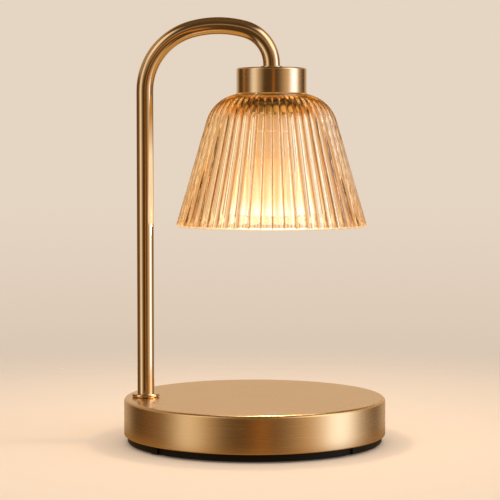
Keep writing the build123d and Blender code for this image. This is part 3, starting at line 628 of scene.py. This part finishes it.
def ribbed_shade():
    """Closed glass mesh: the profile turned round the head's axis, with ribs on the outside."""
    rows, depth_share = shade_profile()
    columns = RIB_COUNT * RIB_SEGMENTS
    shape = bmesh.new()
    rings = []
    for radius, z, ribs in rows:
        ring = []
        for i in range(columns):
            side = 2 * (i % RIB_SEGMENTS) / RIB_SEGMENTS - 1
            dip = (1 - VALLEY_SHARE) * side**2 + VALLEY_SHARE * side**VALLEY_POWER
            reach = radius * (1 - ribs * depth_share * dip)
            angle = 2 * math.pi * i / columns
            ring.append(shape.verts.new((head_x + reach * math.cos(angle), reach * math.sin(angle), z)))
        rings.append(ring)
    for lower, upper in zip(rings, rings[1:] + rings[:1]):
        for i in range(columns):
            j = (i + 1) % columns
            shape.faces.new((lower[i], lower[j], upper[j], upper[i]))
    bmesh.ops.recalc_face_normals(shape, faces=shape.faces)
    mesh = bpy.data.meshes.new("ribbed_glass")
    shape.to_mesh(mesh)
    shape.free()
    mesh.polygons.foreach_set("use_smooth", [True] * len(mesh.polygons))
    mesh.set_sharp_from_angle(angle=SHARP_EDGE)
    glass = bpy.data.objects.new("ribbed_glass", mesh)
    bpy.context.scene.collection.objects.link(glass)
    glass.data.materials.append(AmberGlass("amber_glass").material)
    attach(glass, "shade_glass")
    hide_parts("shade")


ribbed_shade()


# ================================================================ studio
def floor_finish():
    """Pale floor for the camera, and for the brass above it a painted warm reflection near the base.

    It fades into the backdrop away from the lamp, and is see-through from below.
    """
    finish = Finish("pale_floor")
    finish.set(Base_Color=FLOOR, Roughness=0.75, Specular_IOR_Level=0.2, Emission_Color=FLOOR)
    rays = finish.node("ShaderNodeLightPath").outputs
    finish.set(Emission_Strength=finish.math("MULTIPLY", rays["Is Camera Ray"], FLOOR_GLOW))
    reach = finish.node("ShaderNodeVectorMath", operation="LENGTH")
    finish.link(finish.position(), reach.inputs[0])
    fade = finish.mapped(reach.outputs["Value"], FLOOR_FADE_START, FLOOR_FADE_END)
    beyond = finish.mapped(reach.outputs["Value"], METAL_SEES_FLOOR_TO, METAL_SEES_NONE_FROM)
    fade = finish.math("MAXIMUM", fade, finish.math("MULTIPLY", rays["Is Glossy Ray"], beyond))
    from_below = finish.node("ShaderNodeNewGeometry").outputs["Backfacing"]
    fade = finish.math("MAXIMUM", fade, from_below)
    # Painted warm reflection that the brass sees in place of the floor near the base.
    warm = finish.lobe("ShaderNodeEmission", PAINTED_FLOOR_IN_METAL)
    seen = finish.either(rays["Is Glossy Ray"], finish.shader.outputs[0], warm)
    clear = finish.node("ShaderNodeBsdfTransparent").outputs[0]
    finish.surface(finish.either(fade, seen, clear))
    return finish.material


def floor():
    """Round floor under the lamp."""
    shape = bmesh.new()
    bmesh.ops.create_circle(shape, cap_ends=True, segments=FLOOR_SIDES, radius=FLOOR_RADIUS)
    mesh = bpy.data.meshes.new("floor")
    shape.to_mesh(mesh)
    shape.free()
    plane = bpy.data.objects.new("floor", mesh)
    bpy.context.scene.collection.objects.link(plane)
    plane.data.materials.append(floor_finish())


# Soft boxes of the studio as seen from the lamp: centre and half width in degrees round the
# lamp from the front, edge softness in degrees, lowest and highest sine of elevation, and colour.
SOFT_BOXES = [
    (-97.0, 14.0, 12.0, -0.60, 0.80, (0.20, 0.10, 0.035)),
    (-56.0, 20.0, 14.0, -0.60, 0.80, (0.68, 0.50, 0.31)),
    (-60.0, 10.0, 8.0, -0.60, 0.80, (1.02, 0.96, 0.88)),
    (72.0, 34.0, 25.0, -0.60, 0.80, (0.80, 0.58, 0.35)),
    (79.0, 14.0, 11.0, -0.60, 0.80, (1.66, 1.92, 2.50)),
    (-61.0, 20.0, 12.0, 0.45, 0.80, (1.2, 1.0, 0.8)),
    (78.0, 30.0, 15.0, 0.35, 0.80, (1.9, 1.7, 1.5)),
    (0.0, 32.0, 10.0, 0.14, 0.36, (0.36, 0.26, 0.17)),
    (6.0, 3.5, 2.5, -0.60, 0.04, (0.64, 0.25, 0.045)),
    (180.0, 40.0, 12.0, -0.60, 0.55, (0.66, 0.50, 0.34)),
    (-122.0, 34.0, 14.0, 0.22, 0.75, (0.42, 0.31, 0.20)),
    (122.0, 22.0, 12.0, 0.22, 0.75, (0.42, 0.31, 0.20)),
]
STUDIO_DARK = (0.085, 0.048, 0.019)
STUDIO_TOP = (1.45, 1.30, 1.15)
MIRROR_TOP = (0.12, 0.075, 0.030)
MIRROR_FLOOR = (1.05, 0.60, 0.20)
BOX_EDGE = 0.08  # softness of the lowest and highest edge, as a sine too

# Sines of elevation between which the surroundings change with height.
LIT_TOP = (0.45, 0.9)
DARK_TOP = (0.80, 0.95)
FLOOR_BELOW = (-1.02, -0.75)
HORIZON = (-0.16, -0.02)

# What the glass bends into view from behind the lamp: pale strips of light on amber, as many
# degrees apart as the pitch, whiter towards the right and warmer towards the left.
STRIP_COUNT = 16
STRIP_PITCH = 7.0
STRIP_HALF = 2.2
STRIP_SOFT = 1.0
STRIP_RIGHT = (1.20, 1.15, 1.10)
STRIP_LEFT = (1.20, 0.85, 0.45)
GLASS_SIDES = (0.45, 0.24, 0.09)

# What the glass mirrors on its outside: a white box and a strip light at the right, and an
# amber pair at the left.
SHEEN_BOXES = [
    (40.0, 30.0, 8.0, -1.0, 0.66, (2.5, 2.5, 2.5)),
    (-25.0, 25.0, 8.0, -1.0, 0.66, (2.2, 1.6, 0.8)),
    (55.0, 7.0, 3.0, -1.0, 0.72, (12.0, 12.0, 12.0)),
    (-55.0, 7.0, 3.0, -1.0, 0.72, (9.0, 7.0, 4.0)),
]
SHEEN_DARK = (0.03, 0.012, 0.003)


def glass_strips():
    """The pale strips behind the glass, from right to left."""
    strips = []
    for i in range(STRIP_COUNT):
        share = i / (STRIP_COUNT - 1)
        beyond = STRIP_PITCH * (i - (STRIP_COUNT - 1) / 2)
        centre = 180.0 + beyond if beyond < 0 else beyond - 180.0
        light = tuple(right + (left - right) * share for right, left in zip(STRIP_RIGHT, STRIP_LEFT))
        strips.append((centre, STRIP_HALF, STRIP_SOFT, -1.0, 1.0, light))
    return strips


def studio_world():
    """Plain warm backdrop for the camera, and a dim room with soft boxes for the other rays.

    Smooth glass has its own surroundings: the strips in what it bends into view, and the sheen
    boxes in what it mirrors.
    """
    world = bpy.data.worlds.new("studio")
    bpy.context.scene.world = world
    world.use_nodes = True
    world.node_tree.nodes.clear()
    sky = Nodes(world.node_tree)
    x, y, z = sky.axes(sky.node("ShaderNodeTexCoord").outputs["Generated"])
    front = sky.math("MULTIPLY", y, -1.0)
    around = sky.math("MULTIPLY", sky.math("ARCTAN2", x, front), 180 / math.pi)

    def rise(low, high):
        return sky.mapped(z, low, high)

    def surround(boxes, dark):
        """A dark room with soft boxes in it."""
        colour = dark
        for centre, half, soft, low, high, light in boxes:
            away = sky.math("ABSOLUTE", sky.math("SUBTRACT", around, centre))
            wrapped = sky.math("MINIMUM", away, sky.math("SUBTRACT", 360.0, away))
            between = sky.math("SUBTRACT", 1.0, sky.mapped(wrapped, half - soft, half + soft))
            above_low = rise(low - BOX_EDGE, low + BOX_EDGE)
            below_high = sky.math("SUBTRACT", 1.0, rise(high - BOX_EDGE, high + BOX_EDGE))
            inside = sky.math("MULTIPLY", sky.math("MULTIPLY", between, above_low), below_high)
            colour = sky.blend(inside, colour, light)
        return colour

    room = surround(SOFT_BOXES, STUDIO_DARK)
    behind_glass = surround(glass_strips(), GLASS_SIDES)
    sheen = surround(SHEEN_BOXES, SHEEN_DARK)
    lit = sky.blend(rise(*LIT_TOP), room, STUDIO_TOP)
    mirrored = sky.blend(rise(*DARK_TOP), room, MIRROR_TOP)
    mirrored = sky.blend(rise(*FLOOR_BELOW), MIRROR_FLOOR, mirrored)
    backdrop = sky.blend(rise(*HORIZON), BACKDROP_LOW, BACKDROP)

    rays = sky.node("ShaderNodeLightPath").outputs
    seen = sky.blend(rays["Is Glossy Ray"], lit, mirrored)
    seen = sky.blend(rays["Is Singular Ray"], seen, sheen)
    seen = sky.blend(rays["Is Transmission Ray"], seen, behind_glass)
    seen = sky.blend(rays["Is Camera Ray"], seen, backdrop)
    output = sky.node("ShaderNodeOutputWorld")
    sky.link(sky.lobe("ShaderNodeBackground", seen), output.inputs["Surface"])


def bulb_lamp():
    """Small warm lamp just below the bulb's lens, which lights the base."""
    data = bpy.data.lights.new("bulb_light", "POINT")
    data.shadow_soft_size = LAMP_SIZE
    data.energy = LAMP_POWER
    data.color = WARM_LIGHT
    lamp = bpy.data.objects.new("bulb_light", data)
    lamp.location = (head_x, 0.0, lens_z - LAMP_BELOW_LENS)
    lamp.visible_camera = False
    lamp.visible_transmission = False
    bpy.context.scene.collection.objects.link(lamp)
    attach(lamp, "bulb")


def camera():
    """Camera of the front view: a long lens level with the shade, which looks slightly down."""
    data = bpy.data.cameras.new("camera")
    data.lens = CAMERA_LENS
    data.sensor_width = CAMERA_SENSOR
    data.clip_start = CAMERA_NEAR
    view = bpy.data.objects.new("camera", data)
    view.location = CAMERA_PLACE
    view.rotation_euler = (math.pi / 2 - CAMERA_DOWN, 0.0, 0.0)
    bpy.context.scene.collection.objects.link(view)
    bpy.context.scene.camera = view


floor()
studio_world()
bulb_lamp()
camera()
bpy.context.scene.view_settings.view_transform = "Standard"
